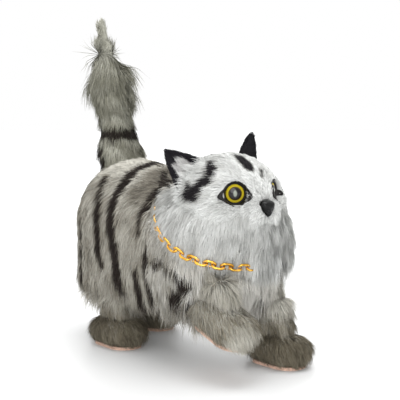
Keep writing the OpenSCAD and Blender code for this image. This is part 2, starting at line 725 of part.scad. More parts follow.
module nose() in_row() color("black") nose_solid(0);
module head_pelt() in_row() color("gainsboro") difference() {
    translate([neck_x, 0, head_z]) head_outline(0);
    translate([-400 + neck_x + head_r * sin(head_turn) + 0.2, -200, -400 + skull_z - 7]) cube(400);
    translate([neck_x, 0, 0]) cylinder(h = skull_z - 10, r = skull_r + 2);
    translate([-200, -200, -400 + head_underside]) cube(400);
    at_skull() sphere(r = skull_r + touch_gap);
    for (side = [-1, 1]) {
        at_eye(side) translate([0, 0, eye_reach - eye_dome]) cylinder(h = head_r, r = eye_r + 0.5);
        at_eye(side) cylinder(h = head_r, r = eye_stem_r + 0.2);
        ear_solid(side, 0.1);
    }
    nose_solid(0.1);
}
module eye(side) at_eye(side) {
    steps = 8;
    base = eye_reach - eye_dome + 0.2;
    rotate_extrude() polygon(concat([[0, base]], [for (i = [0 : steps])
        [eye_r * cos(i * 90 / steps), base + 0.6 + (eye_dome - 0.8) * sin(i * 90 / steps)]]));
    translate([0, 0, skull_r - shell_wall - 1])
        cylinder(h = base - skull_r + shell_wall + 1, r = eye_stem_r);
}
module eye_left() in_row() color("gold") eye(1);
module eye_right() in_row() color("gold") eye(-1);

frame_plate_left();
frame_plate_right();
frame_pillars();
mainspring();
body_shell_left();
body_shell_right();
shell_screws();
hip_bushes();
key_bush();
body_pelt();
chest_pelt();
tail_wire();
tail_pelt();
collar_chain();
great_wheel();
click_rivet();
click_spring();
click();
winding_arbor();
ratchet_wheel();
winding_key();
second_arbor();
second_wheel();
crank_arbor();
crank_wheel();
crank_disc_left();
crank_disc_right();
governor_arbor();
governor_fly();
leg_front_left_strut();
leg_front_left_pelt();
leg_front_left_sole();
leg_front_left_axle();
leg_front_left_lever();
leg_front_right_strut();
leg_front_right_pelt();
leg_front_right_sole();
leg_front_right_axle();
leg_front_right_lever();
leg_rear_left_strut();
leg_rear_left_pelt();
leg_rear_left_sole();
leg_rear_left_axle();
leg_rear_left_lever();
leg_rear_right_strut();
leg_rear_right_pelt();
leg_rear_right_sole();
leg_rear_right_axle();
leg_rear_right_lever();
head_shell();
head_pelt();
ear_left();
ear_right();
eye_left();
eye_right();
nose();
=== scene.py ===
import math

import bmesh
import bpy
import numpy as np
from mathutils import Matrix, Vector, noise
from mathutils.bvhtree import BVHTree


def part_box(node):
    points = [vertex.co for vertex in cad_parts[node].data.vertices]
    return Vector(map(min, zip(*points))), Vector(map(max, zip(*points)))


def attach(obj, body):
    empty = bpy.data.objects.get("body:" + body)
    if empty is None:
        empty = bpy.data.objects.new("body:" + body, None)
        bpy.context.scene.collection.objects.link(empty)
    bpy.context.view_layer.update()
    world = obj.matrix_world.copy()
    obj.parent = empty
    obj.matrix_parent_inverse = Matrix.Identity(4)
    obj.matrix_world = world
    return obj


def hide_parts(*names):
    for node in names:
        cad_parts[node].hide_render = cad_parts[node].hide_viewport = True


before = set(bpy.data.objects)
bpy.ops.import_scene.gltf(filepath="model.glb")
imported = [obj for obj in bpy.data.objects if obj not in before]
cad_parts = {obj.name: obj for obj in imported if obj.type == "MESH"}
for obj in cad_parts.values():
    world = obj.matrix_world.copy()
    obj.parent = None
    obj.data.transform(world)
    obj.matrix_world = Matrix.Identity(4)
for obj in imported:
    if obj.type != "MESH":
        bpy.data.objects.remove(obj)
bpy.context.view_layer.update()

mm = 0.001
print("frame loaded")


def middle(node):
    low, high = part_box(node)
    return (low + high) / 2


# toy millimetres: ahead of the crank arbor, left of the middle of the head, up from the floor
toyStart = Vector((middle("crank_arbor").x, middle("head_pelt").y, 0))


def place(x, y, z):
    return toyStart + Vector((x, y, z)) * mm


def inToy(points):
    return (points - np.array(toyStart)) / mm


# ---- camera, floor and light

view = {"azimuth": 50.4, "elevation": 5.5, "distance": 0.38, "lens": 84.8, "target": (11, 0, 63.7)}
studio = {"sky": 1.0, "floorRadius": 4.0, "floorTint": (0.76, 0.765, 0.765, 1)}
lamps = {  # name: place in toy millimetres, size in metres, watts
    "topLamp": ((60, 40, 620), 0.5, 2.2),
    "eyeLamp": ((430, -330, 190), 0.3, 1.0),
    "backLamp": ((-420, 320, 420), 0.4, 1.0),
}


def linkNew(name, data):
    thing = bpy.data.objects.new(name, data)
    bpy.context.scene.collection.objects.link(thing)
    return thing


def setCamera():
    turn = math.radians(view["azimuth"])
    tilt = math.radians(view["elevation"])
    back = Vector((math.sin(turn) * math.cos(tilt), -math.cos(turn) * math.cos(tilt), math.sin(tilt)))
    camera = linkNew("camera", bpy.data.cameras.new("camera"))
    camera.data.lens = view["lens"]
    camera.data.clip_start = 0.01
    camera.location = place(*view["target"]) + back * view["distance"]
    camera.rotation_euler = back.to_track_quat("Z", "Y").to_euler()
    bpy.context.scene.camera = camera


def setLamps():
    for name, (spot, size, power) in lamps.items():
        data = bpy.data.lights.new(name, "AREA")
        data.shape = "DISK"
        data.size = size
        data.energy = power
        lamp = linkNew(name, data)
        lamp.location = place(*spot)
        aim = lamp.location - place(5, 0, 50)
        lamp.rotation_euler = aim.to_track_quat("Z", "Y").to_euler()


# ---- node helpers

def addNode(tree, kind, inputs=None, out=0, **settings):
    node = tree.nodes.new(kind)
    for name, value in settings.items():
        setattr(node, name, value)
    for key, value in (inputs or {}).items():
        if isinstance(value, bpy.types.NodeSocket):
            tree.links.new(value, node.inputs[key])
        else:
            node.inputs[key].default_value = value
    return node.outputs[out]


def mathNode(tree, operation, first, second=0.0, third=0.0):
    return addNode(tree, "ShaderNodeMath", {0: first, 1: second, 2: third}, operation=operation)


def vectorNode(tree, operation, first, second=None, out=0):
    inputs = {0: first} if second is None else {0: first, 1: second}
    return addNode(tree, "ShaderNodeVectorMath", inputs, out, operation=operation)


def scaled(tree, vector, factor):
    return addNode(tree, "ShaderNodeVectorMath", {0: vector, "Scale": factor}, operation="SCALE")


def spread(tree, value, low, high, newLow=0.0, newHigh=1.0, kind="SMOOTHSTEP"):
    inputs = {0: value, 1: low, 2: high, 3: newLow, 4: newHigh}
    return addNode(tree, "ShaderNodeMapRange", inputs, interpolation_type=kind)


def mixColours(tree, share, first, second, blend="MIX"):
    inputs = {0: share, 6: first, 7: second}
    return addNode(tree, "ShaderNodeMix", inputs, 2, data_type="RGBA", blend_type=blend)


def newGroup(name, inputs, outputs, kind="ShaderNodeTree"):
    tree = bpy.data.node_groups.new(name, kind)
    for title, socket, value in inputs:
        item = tree.interface.new_socket(title, in_out="INPUT", socket_type=socket)
        if value is not None:
            item.default_value = value
    for title, socket in outputs:
        tree.interface.new_socket(title, in_out="OUTPUT", socket_type=socket)
    return tree, tree.nodes.new("NodeGroupInput").outputs, tree.nodes.new("NodeGroupOutput").inputs


def newMaterial(name):
    material = bpy.data.materials.new(name)
    material.use_nodes = True
    shader = material.node_tree.nodes["Principled BSDF"]
    return material, material.node_tree, shader


def setFloor():
    bpy.ops.mesh.primitive_circle_add(vertices=96, radius=studio["floorRadius"], fill_type="NGON")
    floor = bpy.context.object
    floor.name = "floor"
    material, tree, shader = newMaterial("floorPaper")
    far = addNode(tree, "ShaderNodeTexCoord", out="Object")
    reach = vectorNode(tree, "LENGTH", far, out="Value")
    # painted light: the floor glows white, not at all within 0.1 m of its middle and up to strength 0.6
    # beyond 0.7 m, fading it into the white sky
    paintedGlow = spread(tree, reach, 0.10, 0.7, 0.0, 0.6)
    shader.inputs["Base Color"].default_value = studio["floorTint"]
    shader.inputs["Roughness"].default_value = 0.45
    shader.inputs["Emission Color"].default_value = (1, 1, 1, 1)
    tree.links.new(paintedGlow, shader.inputs["Emission Strength"])
    floor.data.materials.append(material)
    world = bpy.data.worlds.new("studio")
    world.use_nodes = True
    world.node_tree.nodes["Background"].inputs[0].default_value = (1, 1, 1, 1)
    world.node_tree.nodes["Background"].inputs[1].default_value = studio["sky"]
    bpy.context.scene.world = world
    bpy.context.scene.view_settings.view_transform = "Standard"


setCamera()
setLamps()
setFloor()
print("camera, lamps and floor set")


# ---- coat colours: tone runs from pale to dark across the map, and from root to tip up it

coats = {  # pale, middle and dark colours, and how dark the roots are
    "bodyCoat": ((0.70, 0.68, 0.61), (0.235, 0.215, 0.175), (0.020, 0.014, 0.011), 0.55),
    "chestCoat": ((0.80, 0.79, 0.75), (0.27, 0.25, 0.205), (0.020, 0.014, 0.011), 0.60),
    "headCoat": ((0.86, 0.87, 0.855), (0.32, 0.32, 0.30), (0.012, 0.010, 0.012), 0.62),
    "tailCoat": ((0.58, 0.575, 0.50), (0.20, 0.195, 0.15), (0.022, 0.017, 0.013), 0.55),
    "pawCoat": ((0.71, 0.695, 0.63), (0.20, 0.175, 0.125), (0.035, 0.027, 0.018), 0.55),
    "earCoat": ((0.80, 0.80, 0.78), (0.30, 0.29, 0.29), (0.010, 0.009, 0.012), 0.60),
}


def makeCoatGroup():
    colour = "NodeSocketColor"
    tree, given, result = newGroup(
        "strandTint",
        [("Pale", colour, None), ("Middle", colour, None), ("Dark", colour, None),
         ("Root Shade", "NodeSocketFloat", 0.6)],
        [("Color", colour), ("Roughness", "NodeSocketFloat")],
    )
    both = addNode(tree, "ShaderNodeUVMap", uv_map="OFBake")
    parts = addNode(tree, "ShaderNodeSeparateXYZ", {0: both}).node
    tone, along = parts.outputs[0], parts.outputs[1]
    streakAt = addNode(tree, "ShaderNodeCombineXYZ", {0: mathNode(tree, "MULTIPLY", tone, 90.0), 1: along})
    streak = addNode(tree, "ShaderNodeTexNoise", {"Vector": streakAt, "Scale": 1.0, "Detail": 1.0})
    shift = mathNode(tree, "MULTIPLY", mathNode(tree, "SUBTRACT", streak, 0.5), 0.10)
    shifted = mathNode(tree, "ADD", tone, shift)
    toMiddle = spread(tree, shifted, 0.0, 0.5, kind="LINEAR")
    toDark = spread(tree, shifted, 0.5, 0.92)
    fur = mixColours(tree, toDark, mixColours(tree, toMiddle, given["Pale"], given["Middle"]), given["Dark"])
    shade = spread(tree, along, 0.0, 0.75, given["Root Shade"], 1.0)
    tree.links.new(scaled(tree, fur, shade), result["Color"])
    tree.links.new(spread(tree, along, 0.0, 1.0, 0.72, 0.5), result["Roughness"])
    return tree


coatGroup = makeCoatGroup()


def makeCoat(name):
    pale, mid, dark, root = coats[name]
    material, tree, shader = newMaterial(name)
    node = tree.nodes.new("ShaderNodeGroup")
    node.node_tree = coatGroup
    for key, value in (("Pale", pale), ("Middle", mid), ("Dark", dark)):
        node.inputs[key].default_value = (*value, 1)
    node.inputs["Root Shade"].default_value = root
    tree.links.new(node.outputs["Color"], shader.inputs["Base Color"])
    tree.links.new(node.outputs["Roughness"], shader.inputs["Roughness"])
    shader.inputs["Specular IOR Level"].default_value = 0.15
    return material


coatPaint = {name: makeCoat(name) for name in coats}


# ---- fur: strands grown on a hide by a node tree, then kept as a plain mesh

def makeFurTree():
    number, geometry = "NodeSocketFloat", "NodeSocketGeometry"
    tree, given, result = newGroup(
        "furGrowth",
        [("Hide", geometry, None), ("Strands per area", number, 1e6), ("Strand width", number, 0.0003),
         ("Segments", "NodeSocketInt", 3), ("Spread", number, 0.2), ("Clump", number, 0.4),
         ("Clump size", number, 0.004), ("Sag", number, 0.6), ("Droop", number, 0.2), ("Curl", number, 0.06),
         ("Tone spread", number, 0.2), ("Seed", "NodeSocketInt", 1),
         ("Coat", "NodeSocketMaterial", None)],
        [("Fur", geometry)],
        "GeometryNodeTree",
    )

    def named(name, kind="FLOAT"):
        return addNode(tree, "GeometryNodeInputNamedAttribute", {"Name": name}, data_type=kind)

    def keep(shape, name, value, kind="FLOAT", domain="POINT"):
        inputs = {"Geometry": shape, "Name": name, "Value": value}
        return addNode(tree, "GeometryNodeStoreNamedAttribute", inputs, data_type=kind, domain=domain)

    def chance(seed, vector=False):
        inputs = {0: (-1, -1, -1), 1: (1, 1, 1), 8: seed}
        kind = "FLOAT_VECTOR" if vector else "FLOAT"
        return addNode(tree, "FunctionNodeRandomValue", inputs, 0 if vector else 1, data_type=kind)

    density = mathNode(tree, "MULTIPLY", given["Strands per area"], named("grow"))
    scatter = addNode(tree, "GeometryNodeDistributePointsOnFaces",
                      {"Mesh": given["Hide"], "Density": density, "Seed": given["Seed"]}).node
    here = addNode(tree, "GeometryNodeInputPosition")
    points = keep(scatter.outputs["Points"], "root", here, "FLOAT_VECTOR")
    points = keep(points, "rootNormal", scatter.outputs["Normal"], "FLOAT_VECTOR")
    points = keep(points, "luck", chance(3))
    points = keep(points, "stray", chance(5, True), "FLOAT_VECTOR")
    rows = mathNode(tree, "ADD", given["Segments"], 1.0)
    blade = addNode(tree, "GeometryNodeMeshGrid",
                    {"Size X": 2.0, "Size Y": 1.0, "Vertices X": 2, "Vertices Y": rows})
    flat = addNode(tree, "ShaderNodeSeparateXYZ", {0: here}).node
    blade = keep(blade, "across", flat.outputs[0])
    blade = keep(blade, "along", mathNode(tree, "ADD", flat.outputs[1], 0.5))
    strands = addNode(tree, "GeometryNodeInstanceOnPoints", {"Points": points, "Instance": blade})
    strands = addNode(tree, "GeometryNodeRealizeInstances", {0: strands})

    root, up = named("root", "FLOAT_VECTOR"), named("rootNormal", "FLOAT_VECTOR")
    stray, luck = named("stray", "FLOAT_VECTOR"), named("luck")
    across, along = named("across"), named("along")
    length = mathNode(tree, "MULTIPLY", named("long"), mathNode(tree, "MULTIPLY_ADD", luck, 0.6, 0.7))
    cell = mathNode(tree, "DIVIDE", 1.0, given["Clump size"])
    swirl = addNode(tree, "ShaderNodeTexNoise", {"Vector": root, "Scale": cell, "Detail": 1.0}, 1)
    swirl = vectorNode(tree, "SUBTRACT", swirl, (0.5, 0.5, 0.5))
    lean = vectorNode(tree, "ADD", named("comb", "FLOAT_VECTOR"), scaled(tree, stray, given["Spread"]))
    gather = scaled(tree, swirl, mathNode(tree, "MULTIPLY", given["Clump"], 3.0))
    lean = vectorNode(tree, "NORMALIZE", vectorNode(tree, "ADD", lean, gather))
    side = vectorNode(tree, "NORMALIZE", vectorNode(tree, "CROSS_PRODUCT", lean, up))
    square = mathNode(tree, "MULTIPLY", along, along)
    rise = mathNode(tree, "SUBTRACT", along, mathNode(tree, "MULTIPLY", square, given["Sag"]))
    rise = mathNode(tree, "MULTIPLY", named("lift"), rise)
    wave = mathNode(tree, "MULTIPLY_ADD", luck, 6.28, mathNode(tree, "MULTIPLY", along, 4.5))
    wave = mathNode(tree, "SINE", wave)
    wave = mathNode(tree, "MULTIPLY", wave, mathNode(tree, "MULTIPLY", along, given["Curl"]))
    path = vectorNode(tree, "ADD", scaled(tree, lean, along), scaled(tree, up, rise))
    droop = scaled(tree, (0, 0, -1), mathNode(tree, "MULTIPLY", square, given["Droop"]))
    path = vectorNode(tree, "ADD", path, droop)
    path = scaled(tree, vectorNode(tree, "ADD", path, scaled(tree, side, wave)), length)
    twist = mathNode(tree, "MULTIPLY", addNode(tree, "ShaderNodeSeparateXYZ", {0: stray}), 1.0)
    face = vectorNode(tree, "NORMALIZE", vectorNode(tree, "ADD", side, scaled(tree, up, twist)))
    taper = mathNode(tree, "SUBTRACT", 1.0, mathNode(tree, "MULTIPLY", square, 0.9))
    half = mathNode(tree, "MULTIPLY", across, given["Strand width"])
    half = mathNode(tree, "MULTIPLY", half, mathNode(tree, "MULTIPLY", taper, 0.5))
    spot = vectorNode(tree, "ADD", vectorNode(tree, "ADD", root, path), scaled(tree, face, half))
    low = vectorNode(tree, "MAXIMUM", spot, (-9, -9, 0.0003))
    strands = addNode(tree, "GeometryNodeSetPosition", {"Geometry": strands, "Position": low})
    vary = mathNode(tree, "MULTIPLY", mathNode(tree, "SUBTRACT", luck, 0.5), given["Tone spread"])
    tone = mathNode(tree, "ADD", named("tone"), vary)
    tone = addNode(tree, "ShaderNodeClamp", {0: tone, 1: 0.02, 2: 0.98})
    tone = mathNode(tree, "ADD", tone, mathNode(tree, "MULTIPLY", across, 0.006))
    height = mathNode(tree, "MULTIPLY_ADD", along, 0.96, 0.02)
    flatMap = addNode(tree, "ShaderNodeCombineXYZ", {0: tone, 1: height})
    strands = keep(strands, "OFBake", flatMap, "FLOAT2", "CORNER")
    strands = addNode(tree, "GeometryNodeSetMaterial", {"Geometry": strands, "Material": given["Coat"]})
    tree.links.new(strands, result["Fur"])
    return tree


furTree = makeFurTree()


def giveInputs(modifier, values):
    for item in modifier.node_group.interface.items_tree:
        if item.item_type == "SOCKET" and item.name in values:
            modifier[item.identifier] = values[item.name]


def grownMesh(holder, tree, values, name):
    modifier = holder.modifiers.new("growth", "NODES")
    modifier.node_group = tree
    giveInputs(modifier, values)
    bpy.context.view_layer.update()
    solved = holder.evaluated_get(bpy.context.evaluated_depsgraph_get())
    mesh = bpy.data.meshes.new_from_object(solved)
    holder.modifiers.remove(modifier)
    mesh.name = name
    return mesh


def writeField(mesh, name, values):
    vector = getattr(values, "ndim", 1) == 2
    field = mesh.attributes.new(name, "FLOAT_VECTOR" if vector else "FLOAT", "POINT")
    field.data.foreach_set("vector" if vector else "value", np.asarray(values, np.float32).ravel())


def growFur(name, hide, area, values):
    fields = ("grow", "comb", "long", "lift", "tone")
    given = {**furDefaults, **values, "Strands per area": 1e6 * area}
    fur = linkNew(name, grownMesh(hide, furTree, given, name))
    for field in ("root", "rootNormal", "luck", "stray", "across", "along", *fields):
        if field in fur.data.attributes:
            fur.data.attributes.remove(fur.data.attributes[field])
    fur.data.shade_smooth()
    return fur


furDefaults = {"Segments": 2, "Strand width": 0.00026, "Spread": 0.16, "Clump": 0.16, "Clump size": 0.003,
               "Sag": 0.7, "Droop": 0.15, "Curl": 0.04, "Tone spread": 0.20, "Seed": 7}


# ---- hides: the sewn shape under the fur, drawn in from the soft solid's outside

def pointsOf(mesh):
    found = np.empty(len(mesh.vertices) * 3, np.float32)
    mesh.vertices.foreach_get("co", found)
    return found.reshape(-1, 3).astype(float)


def normalsOf(mesh):
    found = np.empty(len(mesh.vertices) * 3, np.float32)
    mesh.vertex_normals.foreach_get("vector", found)
    return found.reshape(-1, 3).astype(float)


def putPoints(mesh, points):
    mesh.vertices.foreach_set("co", points.astype(np.float32).ravel())
    mesh.update()


def keepSolved(holder, name):
    bpy.context.view_layer.update()
    holder.data = bpy.data.meshes.new_from_object(holder.evaluated_get(bpy.context.evaluated_depsgraph_get()))
    holder.modifiers.clear()
    holder.data.name = name


def joinRings(shape, rows, around):
    for upper, lower in zip(rows, rows[1:]):
        for step in range(around):
            after = (step + 1) % around
            shape.faces.new((upper[step], lower[step], lower[after], upper[after]))


def remeshed(name, nodes, voxel):
    shape = bmesh.new()
    for node in nodes:
        shape.from_mesh(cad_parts[node].data)
    bmesh.ops.remove_doubles(shape, verts=shape.verts, dist=1e-6)
    rough = bpy.data.meshes.new(name)
    shape.to_mesh(rough)
    shape.free()
    holder = linkNew(name, rough)
    remesh = holder.modifiers.new("remesh", "REMESH")
    remesh.mode = "VOXEL"
    remesh.voxel_size = voxel * mm
    keepSolved(holder, name)
    return holder


def edgesOf(mesh):
    found = np.empty(len(mesh.edges) * 2, np.int32)
    mesh.edges.foreach_get("vertices", found)
    return found.reshape(-1, 2)


def eased(values, edges, rounds, keep=0.3):
    values = np.array(values, float)
    counts = np.bincount(edges.ravel(), minlength=len(values)).astype(float)
    for _ in range(rounds):
        total = np.zeros_like(values)
        np.add.at(total, edges[:, 0], values[edges[:, 1]])
        np.add.at(total, edges[:, 1], values[edges[:, 0]])
        share = counts if values.ndim == 1 else counts[:, None]
        values = keep * values + (1 - keep) * total / np.maximum(share, 1)
    return values


def treeOf(nodes):
    shape = bmesh.new()
    for node in nodes:
        shape.from_mesh(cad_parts[node].data)
    found = BVHTree.FromBMesh(shape)
    shape.free()
    return found


def outerShare(points, normals, tree):
    found = np.ones(len(points))
    for i, (point, normal) in enumerate(zip(points, normals)):
        start = Vector(point) + Vector(normal) * 0.9 * mm
        if tree.ray_cast(start, Vector(normal), 0.09)[0] is not None:
            found[i] = 0
    return found


def makeHide(name, nodes, neighbours, voxel, inset, rounds=6):
    hide = remeshed(name, nodes, voxel)
    mesh = hide.data
    edges = edgesOf(mesh)
    points, normals = pointsOf(mesh), normalsOf(mesh)
    outer = outerShare(points, normals, treeOf(neighbours))
    outer = eased(outer, edges, 3)
    points = eased(points, edges, rounds)
    putPoints(mesh, points)
    normals = normalsOf(mesh)
    points -= normals * (inset * mm * outer)[:, None]
    putPoints(mesh, points)
    mesh.shade_smooth()
    return hide, outer


def smoothStep(low, high, values):
    share = np.clip((values - low) / (high - low), 0, 1)
    return share * share * (3 - 2 * share)


def wobble(points, size, seed):
    return np.array([noise.noise(Vector(p) / size + Vector((seed, seed, seed))) for p in points])


def tangent(direction, normals):
    flat = direction - normals * (direction * normals).sum(1)[:, None]
    return flat / np.maximum(np.linalg.norm(flat, axis=1), 1e-6)[:, None]


def nearLine(points, line):
    found = np.full(len(points), 1e9)
    stops = [np.array(stop, float) for stop in line]
    for start, end in zip(stops, stops[1:] or stops):
        way = end - start
        share = np.clip(((points - start) @ way) / max(way @ way, 1e-9), 0, 1)
        found = np.minimum(found, np.linalg.norm(points - start - share[:, None] * way, axis=1))
    return found


def marked(points, marks, edge, ragged):
    dark = np.zeros(len(points))
    for width, line in marks:
        dark = np.maximum(dark, 1 - smoothStep(width - edge, width + edge, nearLine(points, line) + ragged))
    return dark


def paintHide(mesh, tone, seed):
    rng = np.random.default_rng(seed)
    along = 0.06 + 0.2 * rng.random(len(mesh.vertices))
    index = np.empty(len(mesh.loops), np.int32)
    mesh.loops.foreach_get("vertex_index", index)
    layer = mesh.uv_layers.new(name="OFBake")
    pairs = np.stack([np.clip(tone, 0.02, 0.98)[index], along[index]], 1)
    layer.uv.foreach_set("vector", pairs.astype(np.float32).ravel())


def finishCoat(label, node, body, coat, hide, area, fields, values, seed, sides=False):
    mesh = hide.data
    for name, array in fields.items():
        writeField(mesh, name, array)
    mesh.materials.clear()
    mesh.materials.append(coatPaint[coat])
    values = {**values, "Coat": coatPaint[coat], "Seed": seed}
    furs = []
    if sides:  # a coat too big for one piece grows as a right and a left one
        side = inToy(pointsOf(mesh))[:, 1]
        for word, share in (("Right", side <= 0), ("Left", side > 0)):
            mesh.attributes["grow"].data.foreach_set("value", (fields["grow"] * share).astype(np.float32))
            furs.append(growFur(label + "Fur" + word, hide, area, values))
    else:
        furs.append(growFur(label + "Fur", hide, area, values))
    for name in fields:
        mesh.attributes.remove(mesh.attributes[name])
    paintHide(mesh, fields["tone"], seed)
    for piece in (hide, *furs):
        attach(piece, body)
    if node:
        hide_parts(node)
    print(label, "hide", len(mesh.polygons), "fur faces", [len(fur.data.polygons) for fur in furs])


# ---- body and chest coat

coatMarks = [  # half width, then points ahead and up, on either flank
    (1.3, [(-43, 54), (-43, 44), (-42, 35), (-39, 25)]),
    (2.0, [(-31, 70), (-28, 62), (-27, 54), (-27, 43), (-24, 38)]),
    (3.0, [(-17, 76), (-17, 68), (-18, 60), (-16, 51), (-14, 43), (-12, 31)]),
    (1.8, [(0, 38), (-1, 30), (-6, 21)]),
    (1.5, [(7, 45), (7, 37), (5, 29), (1, 22)]),
    (1.8, [(7, 44), (18, 44), (26, 43)]),
    (3.4, [(29, 40), (27, 35), (20, 31)]),
    (1.4, [(5, 70), (4, 64), (3, 60), (3, 54)]),
    (1.0, [(-15, 77), (-6, 76), (2, 71)]),
]
coatNodes = ("body_pelt", "chest_pelt", "head_pelt")


def coatFields(mesh, outer, chest):
    toy, normals = inToy(pointsOf(mesh)), normalsOf(mesh)
    x, y, z = toy.T
    chart = np.stack([x + np.where(y > 0, 3.0, 0.0), z], 1)
    ragged = 0.9 * wobble(toy, 2.2, 3.1) + 0.7 * wobble(toy, 6.0, 8.4)
    dark = marked(chart, coatMarks, 0.8, ragged)
    tone = 0.27 + 0.20 * wobble(toy, 7.0, 1.7) + 0.10 * wobble(toy, 2.5, 5.0)
    saddle = 1 - smoothStep(6, 13, np.hypot(x + 1, z - 71))
    tone += 0.24 * saddle - 0.22 * smoothStep(2, 8, z - 72 + np.abs(x + 18) / 4) * (1 - saddle)
    if chest:
        tone -= 0.20 * smoothStep(20, 34, x)
        blotch = 1 - smoothStep(3.5, 5, np.hypot(x - 34, z - 35) + ragged) * (y > 0) - 1.0 * (y <= 0)
        dark = np.maximum(dark, blotch)
        breast = 1 - smoothStep(3.5, 6.0, np.linalg.norm(toy - np.array([42, 17, 41]), axis=1) + 2 * ragged)
        dark = np.maximum(dark, breast)
    tone = np.maximum(tone, 0.95 * dark)
    top = smoothStep(0.2, 0.9, normals[:, 2])
    # painted light: fur on hide facing upwards is paler, as if lit from above, except on dark marks and the
    # saddle, fading out towards the rear
    tone -= 0.30 * smoothStep(0.55, 0.92, normals[:, 2]) * (1 - dark) * (1 - saddle) * smoothStep(-44, -34, x)
    way = np.stack([-0.30 - 0.9 * top + 0.5 * smoothStep(20, 40, x), 0 * x, -1 + 0.8 * top], 1)
    grow = smoothStep(0.4, 0.8, outer)
    long = mm * (4.4 + 3.5 * smoothStep(38, 24, z) + 2.0 * smoothStep(18, 30, x))
    return {"tone": tone, "comb": tangent(way, normals), "grow": grow, "long": long, "lift": 0.5 + 0 * x}


def makeBody():
    hide, outer = makeHide("bodyHide", ["body_pelt"], coatNodes, 0.9, 2.0)
    fields = coatFields(hide.data, outer, False)
    finishCoat("body", "body_pelt", "root", "bodyCoat", hide, 7.6, fields,
               {"Tone spread": 0.28}, 11, sides=True)


def makeChest():
    hide, outer = makeHide("chestHide", ["chest_pelt"], coatNodes, 0.8, 2.0)
    fields = coatFields(hide.data, outer, True)
    finishCoat("chest", "chest_pelt", "root", "chestCoat", hide, 9.0, fields,
               {"Clump": 0.35, "Clump size": 0.004, "Droop": 0.3, "Tone spread": 0.28}, 12, sides=True)


makeBody()
makeChest()


# ---- head

# half width, then points ahead, to the side and up, read as directions from the skull's middle
headMarks = [
    (2.0, [(34, -13, 82), (37, -14, 78), (37, -17, 74), (33, -20, 69)]),
    (1.6, [(30, -20, 72), (31, -21, 68), (36, -21, 68)]),
    (2.4, [(38, -1, 83), (41, -2, 81), (44, -2, 79)]),
    (0.8, [(45, 3, 77), (47, 1, 75)]),
    (2.0, [(34, 13, 82), (37, 14, 78), (37, 17, 74), (33, 20, 69)]),
]
headSize = {"muzzle": 2.2, "cheek": 2.4}
noseAt = inToy(np.array([middle("nose")]))[0]
headAt = noseAt * (0, 0, 1) + inToy(np.array([middle("head_shell")]))[0] * (1, 0, 0)
eyes = {"yaw": {"left": 27.0, "right": 34.2}, "reach": {"left": 18.3, "right": 16.9},
        "radius": 3.95, "dome": 2.1, "rings": 14, "around": 56, "pupil": 0.56, "iris": 0.66, "band": 0.87}


def eyeFrame(side):
    sign = 1 if side == "left" else -1
    turn = math.radians(eyes["yaw"][side]) * sign
    out = Vector((math.cos(turn), math.sin(turn), 0))
    across = Vector((-math.sin(turn), math.cos(turn), 0)) * sign
    low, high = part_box("eye_" + side)
    centre = Vector((toyStart.x + headAt[0] * mm, toyStart.y, (low.z + high.z) / 2))
    return out, across, centre


def shapeHead(mesh):
    points = pointsOf(mesh)
    toy, normals = inToy(points), normalsOf(mesh)
    x, y, z = toy.T
    ahead = smoothStep(38, 47, x)
    muzzle = sum(np.exp(-(((y - side * 4.5) / 4.5) ** 2 + ((z - 58.5) / 4.5) ** 2)) for side in (-1, 1))
    cheek = np.exp(-(((z - 57) / 8) ** 2)) * smoothStep(9, 17, np.abs(y)) * smoothStep(22, 34, x)
    grown = headSize["muzzle"] * muzzle * ahead + headSize["cheek"] * cheek
    points = points + normals * (mm * grown)[:, None]
    for side in ("left", "right"):  # a seat behind each eye
        out, across, centre = eyeFrame(side)
        offset = points - np.array(centre)
        depth = offset @ np.array(out)
        beside = np.linalg.norm(offset - depth[:, None] * np.array(out), axis=1) / mm
        seat = (eyes["reach"][side] - eyes["dome"] - 0.6) * mm
        press = np.maximum(depth - seat, 0) * (depth > 8 * mm) * smoothStep(4.6, 4.0, beside)
        points = points - press[:, None] * np.array(out)
    putPoints(mesh, points)


def headFields(mesh, outer):
    toy, normals = inToy(pointsOf(mesh)), normalsOf(mesh)
    x, y, z = toy.T
    ragged = 0.6 * wobble(toy, 1.8, 2.3) + 0.4 * wobble(toy, 4.5, 6.2)
    skull = np.array([headAt[0], 0, 66.0])

    def onSkull(points):
        away = np.asarray(points, float) - skull
        return 20 * away / np.linalg.norm(away, axis=1)[:, None]

    marks = [(width, list(onSkull(line))) for width, line in headMarks]
    dark = marked(onSkull(toy), marks, 0.7, ragged)
    tone = 0.13 + 0.14 * wobble(toy, 5.0, 4.4) + 0.10 * wobble(toy, 2.0, 9.1)
    tone += 0.10 * smoothStep(22, 10, x)
    tone = np.maximum(tone, 0.97 * dark)
    fromNose = toy - noseAt
    reach = np.linalg.norm(fromNose, axis=1)
    way = fromNose / reach[:, None]
    low = smoothStep(66, 52, z)[:, None]
    way = way * (1 - 0.6 * low) + np.array([-0.35, 0, -0.9]) * low + np.array([-0.25, 0, -0.1])
    grow = smoothStep(0.4, 0.8, outer)
    for side in ("left", "right"):
        out, across, centre = eyeFrame(side)
        offset = (pointsOf(mesh) - np.array(centre)) / mm
        flat = offset @ np.array(across)
        wide = np.where(flat > 0, 7.0, 5.6)
        close = smoothStep(0.85, 1.1, np.hypot(flat / wide, offset[:, 2] / 4.6))
        grow = grow * np.where(offset @ np.array(out) > 8, close, 1)
    grow = grow * smoothStep(-0.85, -0.5, normals[:, 2])
    grow = grow * smoothStep(3.2, 4.2, reach)
    long = mm * (1.6 + 3.0 * smoothStep(9, 30, reach) + 3.0 * smoothStep(60, 50, z))
    return {"tone": tone, "comb": tangent(way, normals), "grow": grow, "long": long, "lift": 0.42 + 0 * x}


